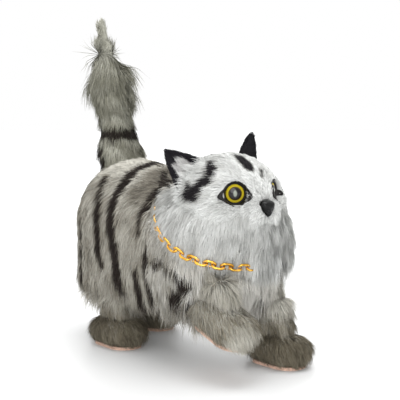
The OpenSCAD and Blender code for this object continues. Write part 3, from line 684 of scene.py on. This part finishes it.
def makeHead():
    hide, outer = makeHide("headHide", ["head_pelt"], ("head_pelt",), 0.7, 1.2)
    shapeHead(hide.data)
    fields = headFields(hide.data, outer)
    finishCoat("head", "head_pelt", "head", "headCoat", hide, 10.4, fields,
               {"Strand width": 0.00024, "Clump": 0.20, "Clump size": 0.0026, "Spread": 0.12}, 13)


makeHead()


# ---- ruff: the skin that hangs from the head down to the collar

ruff = {"rows": 14, "around": 110, "headReach": 19.5, "headUp": 65.0, "tuck": 1.2, "above": 2.6}


collarLow, collarHigh = (inToy(np.array([corner]))[0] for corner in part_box("collar_chain"))


def collarPoint(turn):
    centre = (collarLow + collarHigh) / 2
    wide = np.abs(collarHigh - collarLow) / 2 - 1.5
    return centre + np.array([wide[0] * math.cos(turn), wide[1] * math.sin(turn),
                              2 * math.cos(2 * turn) - 2 - wide[2] * math.cos(turn)])


def frontCover(degrees):
    away = (degrees + 180) % 360 - 180
    return float(smoothStep(-14, -6, away) * smoothStep(112, 92, away))


def makeRuff():
    shape = bmesh.new()
    rows = []
    for row in range(ruff["rows"] + 1):
        share = row / ruff["rows"]
        ring = []
        for step in range(ruff["around"]):
            turn = step / ruff["around"] * math.tau
            cover = frontCover(math.degrees(turn))
            tuck = ruff["tuck"] - 2.4 * cover
            cosine, sine = math.cos(turn), math.sin(turn)
            low = collarPoint(turn) + np.array([-tuck * cosine, -tuck * sine, ruff["above"] - 3.6 * cover])
            high = np.array([headAt[0] + ruff["headReach"] * cosine, ruff["headReach"] * sine,
                             max(ruff["headUp"], low[2] + 3)])
            bulge = 1.5 * math.sin(share * math.pi)
            spot = high + (low - high) * share + np.array([math.cos(turn), math.sin(turn), 0]) * bulge
            ring.append(shape.verts.new(place(*spot)))
        rows.append(ring)
    joinRings(shape, rows, ruff["around"])
    shape.normal_update()
    mesh = bpy.data.meshes.new("ruffHide")
    shape.to_mesh(mesh)
    shape.free()
    hide = linkNew("ruffHide", mesh)
    toy, normals = inToy(pointsOf(mesh)), normalsOf(mesh)
    x, y, z = toy.T
    tone = 0.20 + 0.16 * wobble(toy, 5.0, 4.4) + 0.10 * wobble(toy, 2.0, 9.1) + 0.12 * smoothStep(26, 8, x)
    way = np.stack([-0.15 - 0.3 * smoothStep(30, 10, x), 0.15 * np.sign(y), -1 + 0 * x], 1)
    hang = smoothStep(-14, -6, y) * smoothStep(22, 34, x)
    fields = {"tone": tone, "comb": tangent(way, normals), "grow": 1 + 0 * x,
              "long": mm * (5.0 + 0.8 * hang), "lift": 0.45 - 0.1 * hang}
    finishCoat("ruff", None, "head", "headCoat", hide, 10.0, fields,
               {"Clump": 0.35, "Clump size": 0.0035, "Droop": 0.25}, 17)


makeRuff()


# ---- ears: a cupped leaf each, dark behind and round the rim

ears = {"inner": (-5, 9, 16.5), "outer": (-6, 19.5, 3.5), "tip": (-7.5, 19.05, 25.0),
        "bend": (-6.9, 0.6, -5.4), "cup": 2.4, "wall": 1.1, "across": 26, "up": 22}


def makeEar(side):
    sign = 1 if side == "left" else -1
    middleUp = inToy(np.array([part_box("head_pelt")[1]]))[0][2] - 20
    start = np.array([headAt[0], 0, middleUp])
    inner, outerCorner, tip = (np.array(ears[key], float) for key in ("inner", "outer", "tip"))
    if side == "right":
        tip = tip + ears["bend"]
    facing = np.cross(outerCorner - inner, tip - inner)
    facing = facing / np.linalg.norm(facing)
    if facing[0] < 0:
        facing = -facing
    shape = bmesh.new()
    grid, tones = [], []
    for row in range(ears["up"] + 1):
        up = row / ears["up"]
        line = []
        for column in range(ears["across"] + 1):
            across = 2 * column / ears["across"] - 1
            base = (inner + outerCorner) / 2 + (outerCorner - inner) / 2 * across
            narrow = (1 - up) ** (0.55 if side == "left" else 0.72)
            centre = (inner + outerCorner) / 2
            spot = centre + (base - centre) * narrow * 1.04 + (tip - centre) * up
            spot = spot - facing * ears["cup"] * (1 - across * across) * narrow
            spot = (spot - (tip - centre) * 0.12 * (1 - up)) * (1, sign, 1) + start
            line.append(shape.verts.new(place(*spot)))
            tones.append(max(abs(across), up * 1.02))
        grid.append(line)
    for lower, upper in zip(grid, grid[1:]):
        for column in range(ears["across"]):
            corners = (lower[column], lower[column + 1], upper[column + 1], upper[column])
            shape.faces.new(corners if sign < 0 else corners[::-1])
    shape.normal_update()
    label = "ear" + side.capitalize()
    mesh = bpy.data.meshes.new(label + "Hide")
    shape.to_mesh(mesh)
    shape.free()
    hide = linkNew(label + "Hide", mesh)
    writeField(mesh, "rim", tones)
    wall = hide.modifiers.new("wall", "SOLIDIFY")
    wall.thickness = ears["wall"] * mm
    wall.offset = 0
    keepSolved(hide, label + "Hide")
    mesh = hide.data
    rim = np.empty(len(mesh.vertices), np.float32)
    mesh.attributes["rim"].data.foreach_get("value", rim)
    mesh.attributes.remove(mesh.attributes["rim"])
    toy, normals = inToy(pointsOf(mesh)), normalsOf(mesh)
    front = (normals * (facing * (1, sign, 1))).sum(1) > 0
    tone = 0.16 + 0.25 * wobble(toy, 2.2, 3.0)
    start = 0.22 if side == "left" else 0.50
    edge = smoothStep(start, start + 0.18, rim + 0.10 * wobble(toy, 1.6, 6.0))
    tone = np.where(front, np.maximum(tone, 0.97 * edge), 0.97)
    way = np.tile((tip - (inner + outerCorner) / 2) * (1, sign, 1), (len(toy), 1))
    fields = {"tone": tone, "comb": tangent(way, normals), "grow": 1.0 + 0 * rim,
              "long": mm * np.where(front, 3.0 - 1.2 * edge, 1.7), "lift": 0.35 + 0 * rim}
    mesh.shade_smooth()
    finishCoat(label, "ear_" + side, "head", "earCoat", hide, 16.0, fields,
               {"Strand width": 0.00024, "Droop": 0.0, "Spread": 0.18, "Tone spread": 0.14}, 31 + sign)


for side in ("left", "right"):
    makeEar(side)


# ---- eyes, their dark rims, and the nose

rims = {"inside": 0.96, "thin": 1.16, "outerCorner": 0.62, "innerCorner": 0.34, "wall": 0.5, "proud": 0.45,
        "rings": 4, "around": 96}


def eyeMaterial():
    material, tree, shader = newMaterial("eyeGlass")
    both = addNode(tree, "ShaderNodeUVMap", uv_map="OFBake")
    flat = vectorNode(tree, "SUBTRACT", both, (0.5, 0.5, 0))
    reach = mathNode(tree, "MULTIPLY", vectorNode(tree, "LENGTH", flat, out="Value"), 2.1)
    fibre = addNode(tree, "ShaderNodeTexNoise", {"Vector": both, "Scale": 26.0, "Detail": 3.0})
    ring = mathNode(tree, "MULTIPLY", spread(tree, reach, eyes["iris"] - 0.05, eyes["iris"] + 0.03),
                    spread(tree, reach, eyes["band"] - 0.03, eyes["band"] + 0.02, 1.0, 0.0))
    gold = mixColours(tree, spread(tree, fibre, 0.3, 0.7), (0.78, 0.62, 0.03, 1), (0.52, 0.40, 0.02, 1))
    pupilEdge = spread(tree, reach, eyes["pupil"] - 0.06, eyes["pupil"] + 0.04)
    olive = mixColours(tree, pupilEdge, (0.006, 0.005, 0.007, 1), (0.07, 0.045, 0.012, 1))
    # painted reflection: a pale upright oval glint in the middle of the pupil
    paintedGlint = vectorNode(tree, "LENGTH", vectorNode(tree, "MULTIPLY", flat, (2.0, 1.15, 0)), out="Value")
    olive = mixColours(tree, spread(tree, paintedGlint, 0.10, 0.22, 1.0, 0.0), olive, (0.30, 0.33, 0.28, 1))
    tree.links.new(mixColours(tree, ring, olive, gold), shader.inputs["Base Color"])
    tree.links.new(spread(tree, fibre, 0.2, 0.8, 0.05, 0.12), shader.inputs["Roughness"])
    shader.inputs["Specular IOR Level"].default_value = 0.25
    shader.inputs["Coat Weight"].default_value = 0.15
    shader.inputs["Coat Roughness"].default_value = 0.03
    return material


def rubberMaterial(name, colour, rough, grain, depth):
    material, tree, shader = newMaterial(name)
    own = addNode(tree, "ShaderNodeTexCoord", out="Object")
    cloud = addNode(tree, "ShaderNodeTexNoise", {"Vector": own, "Scale": grain, "Detail": 4.0})
    shader.inputs["Specular IOR Level"].default_value = 0.22
    lighter = tuple(part * 1.9 + 0.002 for part in colour)
    tint = mixColours(tree, spread(tree, cloud, 0.3, 0.75), (*colour, 1), (*lighter, 1))
    tree.links.new(tint, shader.inputs["Base Color"])
    tree.links.new(spread(tree, cloud, 0.25, 0.75, rough - 0.07, rough + 0.09), shader.inputs["Roughness"])
    bump = addNode(tree, "ShaderNodeBump", {"Strength": 0.5, "Distance": depth, "Height": cloud})
    tree.links.new(bump, shader.inputs["Normal"])
    return material


def makeEye(side, glass, liner):
    out, across, centre = eyeFrame(side)
    up = Vector((0, 0, 1))
    radius = eyes["radius"] * mm
    reach = eyes["reach"][side] * mm
    shape = bmesh.new()
    layer = shape.loops.layers.uv.new("OFBake")
    rows = []
    for ring in range(eyes["rings"] + 1):
        share = math.sin(ring / eyes["rings"] * math.pi / 2)
        depth = eyes["dome"] * mm * (1 - math.sqrt(max(0.0, 1 - share * share * 0.93)))
        row = []
        for step in range(eyes["around"]):
            turn = step / eyes["around"] * math.tau
            flat = (math.cos(turn) * share, math.sin(turn) * share)
            beside = (across * flat[0] + up * flat[1]) * radius
            row.append(shape.verts.new(centre + out * (reach - depth) + beside))
        rows.append(row)
    back = [shape.verts.new(vert.co - out * 1.6 * mm) for vert in rows[-1]]
    rows.append(back)
    joinRings(shape, rows, eyes["around"])
    shape.faces.new(back)
    bmesh.ops.remove_doubles(shape, verts=shape.verts, dist=1e-7)
    bmesh.ops.recalc_face_normals(shape, faces=shape.faces)
    for face in shape.faces:
        for loop in face.loops:
            offset = loop.vert.co - centre
            loop[layer].uv = (0.5 + offset.dot(across) / radius / 2.1, 0.5 + offset.dot(up) / radius / 2.1)
    label = "eye" + side.capitalize()
    mesh = bpy.data.meshes.new(label)
    shape.to_mesh(mesh)
    shape.free()
    mesh.materials.append(glass)
    mesh.shade_smooth()
    eye = linkNew(label, mesh)
    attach(eye, "head")
    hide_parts("eye_" + side)

    shape = bmesh.new()
    rows = []
    for ring in range(rims["rings"] + 1):
        share = ring / rims["rings"]
        row = []
        for step in range(rims["around"]):
            turn = step / rims["around"] * math.tau
            cosine = math.cos(turn)
            corner = rims["outerCorner"] if cosine > 0 else rims["innerCorner"]
            edge = rims["thin"] + corner * abs(cosine) ** 9
            flat = rims["inside"] + (edge - rims["inside"]) * share
            drop = (0.75 + 0.45 * share + 1.0 * max(0, flat - 1.15)) * mm
            droop = -0.25 * radius * abs(cosine) ** 9 * share
            spot = centre + out * (reach + rims["proud"] * mm - drop) + across * cosine * flat * radius
            spot = spot + up * (math.sin(turn) * min(flat, rims["thin"]) * radius + droop)
            hit = headSkin.ray_cast(spot + out * 0.02, -out)[0]
            if hit:
                spot = spot.lerp(hit + out * rims["proud"] * mm, min(1.0, share * 2))
            row.append(shape.verts.new(spot))
        rows.append(row)
    joinRings(shape, rows, rims["around"])
    bmesh.ops.recalc_face_normals(shape, faces=shape.faces)
    mesh = bpy.data.meshes.new(label + "Rim")
    shape.to_mesh(mesh)
    shape.free()
    mesh.materials.append(liner)
    rim = linkNew(label + "Rim", mesh)
    wall = rim.modifiers.new("wall", "SOLIDIFY")
    wall.thickness = rims["wall"] * mm
    wall.offset = 0
    mesh.shade_smooth()
    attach(rim, "head")


nose = {"wide": 3.7, "tall": 3.3, "deep": 2.4}


def makeNose(plastic):
    low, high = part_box("nose")
    centre = (low + high) / 2
    centre.x = high.x - 1.2 * mm
    outline = [(-1, 0.72), (-0.35, 0.92), (0.35, 0.92), (1, 0.72),
               (0.62, -0.25), (0.14, -1), (-0.14, -1), (-0.62, -0.25)]
    shape = bmesh.new()
    rows = []
    for depth, size in ((-1.0, 0.92), (-0.2, 1.05), (0.6, 0.95), (0.95, 0.55)):
        deep, wide, tall = depth * nose["deep"], nose["wide"] * size, nose["tall"] * size
        rows.append([shape.verts.new(centre + Vector((deep, y * wide, z * tall)) * mm) for y, z in outline])
    joinRings(shape, rows, len(outline))
    shape.faces.new(rows[0])
    shape.faces.new(rows[-1])
    bmesh.ops.recalc_face_normals(shape, faces=shape.faces)
    mesh = bpy.data.meshes.new("nosePad")
    shape.to_mesh(mesh)
    shape.free()
    pad = linkNew("nosePad", mesh)
    smooth = pad.modifiers.new("smooth", "SUBSURF")
    smooth.levels = smooth.render_levels = 3
    keepSolved(pad, "nosePad")
    points = pointsOf(pad.data)
    local = (points - np.array(centre)) / mm
    for sign in (-1, 1):
        beside = ((local[:, 1] - sign * 1.15) / 0.55) ** 2 + ((local[:, 2] + 0.55) / 0.45) ** 2
        points[:, 0] -= 0.75 * mm * np.exp(-beside) * (local[:, 0] > 0)
    putPoints(pad.data, points)
    pad.data.materials.append(plastic)
    pad.data.shade_smooth()
    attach(pad, "head")
    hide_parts("nose")


headSkin = BVHTree.FromObject(bpy.data.objects["headHide"], bpy.context.evaluated_depsgraph_get())
glass = eyeMaterial()
liner = rubberMaterial("eyeLiner", (0.008, 0.007, 0.007), 0.45, 900, 0.0001)
noseGloss = rubberMaterial("noseGloss", (0.002, 0.002, 0.002), 0.22, 700, 0.0001)
for side in ("left", "right"):
    makeEye(side, glass, liner)
makeNose(noseGloss)
print("eyes, rims and nose made")


# ---- tail

tailLook = {"band": 92.0, "tipFrom": 122.0}


def makeTail():
    hide, outer = makeHide("tailHide", ["tail_pelt"], ("tail_pelt",), 0.6, 0.0)
    mesh = hide.data
    points = pointsOf(mesh)
    toy = inToy(points)
    low, high = (inToy(np.array([corner]))[0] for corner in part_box("tail_wire"))
    lean = (high[0] - low[0] - 3.6) / (high[2] - low[2])
    axis = np.stack([high[0] - 1.6 - lean * (toy[:, 2] - low[2]), 0 * toy[:, 2]], 1)
    away = toy[:, :2] - axis
    reach = np.linalg.norm(away, axis=1)
    thin = np.clip((reach - 2.2) / np.maximum(reach, 1e-6), 0.55, 1)
    tip = smoothStep(124, 130, toy[:, 2])
    thin = thin * (1 - tip) + 1.0 * tip
    thin = thin * (1 + 0.38 * smoothStep(92, 80, toy[:, 2])) * (1 - 0.35 * tip)
    thin = thin * (1 + 0.06 * smoothStep(98, 106, toy[:, 2]) * (1 - tip))
    points[:, :2] += away * (thin - 1)[:, None] * outer[:, None] * mm
    putPoints(mesh, points)
    toy, normals = inToy(pointsOf(mesh)), normalsOf(mesh)
    x, y, z = toy.T
    tone = 0.34 + 0.22 * wobble(toy, 5.0, 2.9) + 0.14 * wobble(toy, 2.0, 7.7)
    ragged = 0.8 * wobble(toy, 2.0, 3.3)
    band = 1 - smoothStep(2.2, 3.4, np.abs(z - tailLook["band"] + 0.10 * (x + 44)) + ragged)
    patch = (1 - smoothStep(4.2, 5.6, np.hypot(x + 48, (z - 80) * 0.8) + ragged)) * (y < 3)
    tone = np.maximum(tone, 0.95 * np.maximum(band, patch))
    tip = smoothStep(tailLook["tipFrom"], tailLook["tipFrom"] + 6, z)
    tone = tone * (1 - tip) + (0.12 + 0.2 * wobble(toy, 2.0, 1.1)) * tip
    way = np.stack([0.1 + 0 * x, 0 * x, -1 + 2.2 * tip], 1)
    tufts = smoothStep(0.1, 0.5, wobble(toy, 6.0, 5.5)) * smoothStep(100, 108, z)
    fields = {"tone": tone, "comb": tangent(way, normals), "grow": smoothStep(0.3, 0.7, outer),
              "long": mm * (4.8 + 2.6 * smoothStep(102, 116, z) + 3 * tufts - 4.6 * tip),
              "lift": 0.55 + 0.5 * tufts}
    finishCoat("tail", "tail_pelt", "root", "tailCoat", hide, 10.0, fields,
               {"Clump": 0.45, "Clump size": 0.0045, "Spread": 0.22, "Tone spread": 0.30, "Droop": 0.1}, 14)


makeTail()


# ---- legs

legLook = {"foot": 1.3, "raised": 0.4, "sleeve": -0.5}


def makeLeg(name, seed):
    words = name.split("_")
    label = words[0] + words[1].capitalize() + words[2].capitalize()
    node = name + "_pelt"
    hide, outer = makeHide(label + "Hide", [node, name + "_strut"], (node, name + "_strut"), 0.7, 0.0)
    mesh = hide.data
    points = pointsOf(mesh)
    toy, normals = inToy(points), normalsOf(mesh)
    sole = inToy(np.array([middle(name + "_sole")]))[0]
    foot = 1 - smoothStep(13, 17, np.linalg.norm((toy - sole) * (0.75, 1, 1), axis=1))
    raised = name == "leg_front_right"
    footInset = legLook["foot"] + (legLook["raised"] if raised else 0)
    inset = legLook["sleeve"] + (footInset - legLook["sleeve"]) * foot
    points -= normals * (mm * inset * outer)[:, None]
    putPoints(mesh, points)
    toy, normals = inToy(pointsOf(mesh)), normalsOf(mesh)
    x, y, z = toy.T
    tone = 0.52 + 0.18 * wobble(toy, 5.0, seed) + 0.10 * wobble(toy, 2.0, seed + 2)
    tone -= (0.7 if raised else 1.1) * (0.26 * smoothStep(18, 28, z) + 0.16 * smoothStep(0.2, 0.8, 1 - foot))
    if raised:
        tone -= 0.06 + foot * 0.34 * smoothStep(-0.1, 0.6, normals[:, 0] * 0.8 - normals[:, 2] * 0.5)
    way = np.stack([0.35 + 0.3 * foot, 0 * x, -1 + 0 * x], 1)
    grow = smoothStep(0.4, 0.8, outer) * smoothStep(48, 44, z)
    fields = {"tone": tone, "comb": tangent(way, normals), "grow": grow,
              "long": mm * (4.0 + 1.6 * (1 - foot) + (1.2 if raised else 0)), "lift": 0.55 + 0 * x}
    finishCoat(label, node, name, "pawCoat", hide, 11.0, fields,
               {"Clump": 0.35, "Clump size": 0.0035, "Spread": 0.2, "Tone spread": 0.28}, seed)


for seed, name in enumerate(("leg_front_left", "leg_front_right", "leg_rear_left", "leg_rear_right")):
    makeLeg(name, 21 + seed)


# ---- finishes of the solid parts: worn metal, moulded plastic, gilt and skin

metals = {  # bright and worn colours, roughness, scratches per metre
    "rolledBrass": ((0.78, 0.53, 0.20), (0.42, 0.26, 0.09), 0.30, 1400),
    "brightSteel": ((0.66, 0.66, 0.67), (0.34, 0.34, 0.35), 0.28, 1800),
    "bluedSpring": ((0.16, 0.18, 0.24), (0.07, 0.07, 0.08), 0.34, 1500),
    "giltChain": ((0.95, 0.56, 0.10), (0.50, 0.24, 0.03), 0.20, 1100),
}


def makeWearGroup():
    colour, number = "NodeSocketColor", "NodeSocketFloat"
    tree, given, result = newGroup(
        "wornMetal",
        [("Bright", colour, None), ("Worn", colour, None), ("Rough", number, 0.3), ("Grain", number, 1500.0)],
        [("Color", colour), ("Roughness", number), ("Height", number)],
    )
    own = addNode(tree, "ShaderNodeTexCoord", out="Object")
    cloud = addNode(tree, "ShaderNodeTexNoise", {"Vector": own, "Scale": 260.0, "Detail": 4.0})
    stretched = vectorNode(tree, "MULTIPLY", own, (0.12, 1.0, 1.0))
    lines = addNode(tree, "ShaderNodeTexNoise", {"Vector": stretched, "Scale": given["Grain"], "Detail": 2.0})
    clouds, scratches = mathNode(tree, "MULTIPLY", cloud, 0.65), mathNode(tree, "MULTIPLY", lines, 0.35)
    both = mathNode(tree, "ADD", clouds, scratches)
    worn = spread(tree, both, 0.40, 0.66)
    tree.links.new(mixColours(tree, worn, given["Bright"], given["Worn"]), result["Color"])
    roughness = mathNode(tree, "ADD", given["Rough"], spread(tree, both, 0.35, 0.7, -0.08, 0.16))
    tree.links.new(roughness, result["Roughness"])
    tree.links.new(lines, result["Height"])
    return tree


wearGroup = makeWearGroup()


def makeMetal(name):
    bright, worn, rough, grain = metals[name]
    material, tree, shader = newMaterial(name)
    node = tree.nodes.new("ShaderNodeGroup")
    node.node_tree = wearGroup
    node.inputs["Bright"].default_value = (*bright, 1)
    node.inputs["Worn"].default_value = (*worn, 1)
    node.inputs["Rough"].default_value = rough
    node.inputs["Grain"].default_value = grain
    tree.links.new(node.outputs["Color"], shader.inputs["Base Color"])
    tree.links.new(node.outputs["Roughness"], shader.inputs["Roughness"])
    bump = addNode(tree, "ShaderNodeBump",
                   {"Strength": 0.25, "Distance": 0.00005, "Height": node.outputs["Height"]})
    tree.links.new(bump, shader.inputs["Normal"])
    shader.inputs["Metallic"].default_value = 1.0
    return material


def dress(material, names):
    for name in names:
        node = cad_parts[name]
        node.data.materials.clear()
        node.data.materials.append(material)


legNames = ("leg_front_left", "leg_front_right", "leg_rear_left", "leg_rear_right")
brass = makeMetal("rolledBrass")
steel = makeMetal("brightSteel")
dress(brass, ["frame_plate_left", "frame_plate_right", "hip_bushes", "key_bush",
              "great_wheel", "second_wheel", "crank_wheel"])
dress(steel, ["frame_pillars", "shell_screws", "tail_wire", "click_rivet", "click", "winding_arbor",
              "ratchet_wheel", "winding_key", "second_arbor", "crank_arbor", "crank_disc_left",
              "crank_disc_right", "governor_arbor", "governor_fly"])
dress(steel, [name + part for name in legNames for part in ("_axle", "_lever")])
dress(makeMetal("bluedSpring"), ["mainspring", "click_spring"])
dress(makeMetal("giltChain"), ["collar_chain"])
dress(rubberMaterial("mouldedShell", (0.42, 0.33, 0.22), 0.5, 500, 0.0001),
      ["body_shell_left", "body_shell_right", "head_shell", *(name + "_strut" for name in legNames)])
dress(rubberMaterial("soleSkin", (0.46, 0.31, 0.24), 0.7, 1200, 0.0002),
      [name + "_sole" for name in legNames])
print("metal, plastic and skin set")
